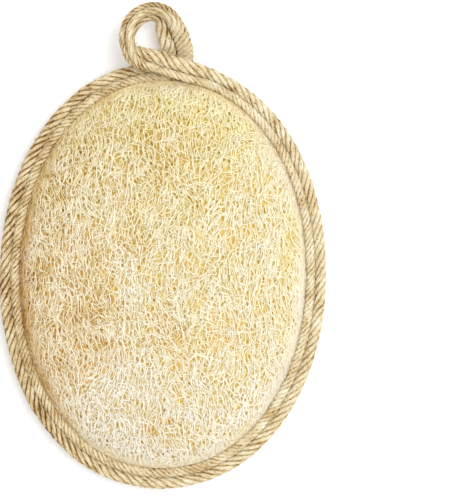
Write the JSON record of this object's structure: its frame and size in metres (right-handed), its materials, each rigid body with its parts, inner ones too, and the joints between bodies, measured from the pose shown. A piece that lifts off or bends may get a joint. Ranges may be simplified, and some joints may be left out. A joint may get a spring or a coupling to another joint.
{
  "type": "natural loofah bath sponge pad",
  "caption": "Oval bath sponge pad: a loofah fibre face backed with terry cloth, bound with twisted jute tape that ends in a hanging loop, with an elastic hand strap across the back.",
  "frame": {"origin": "below the middle of the whole object's box, on the surface that the pad lies on", "axes": "+Z out of the loofah face, +Y along the pad towards the hanging loop, +X across the pad, along the hand strap"},
  "size_m": [0.13, 0.1937, 0.0245],
  "materials": {
    "loofah_fibre": "dry matted plant fibre, cream on golden yellow",
    "jute_cord": "twisted cords, matt and slightly hairy",
    "cotton_terry": "ivory terry cloth with fine ribs",
    "elastic_webbing": "light grey woven elastic",
    "cotton_thread": "cream sewing thread"
  },
  "bodies": {
    "root": {"loofah_mat": "loofah_fibre", "terry_backing": "cotton_terry", "edge_binding": "jute_cord", "hanging_loop": "jute_cord", "hand_strap": "elastic_webbing", "seam_thread_face": "cotton_thread", "seam_thread_back": "cotton_thread"}
  },
  "joints": []
}
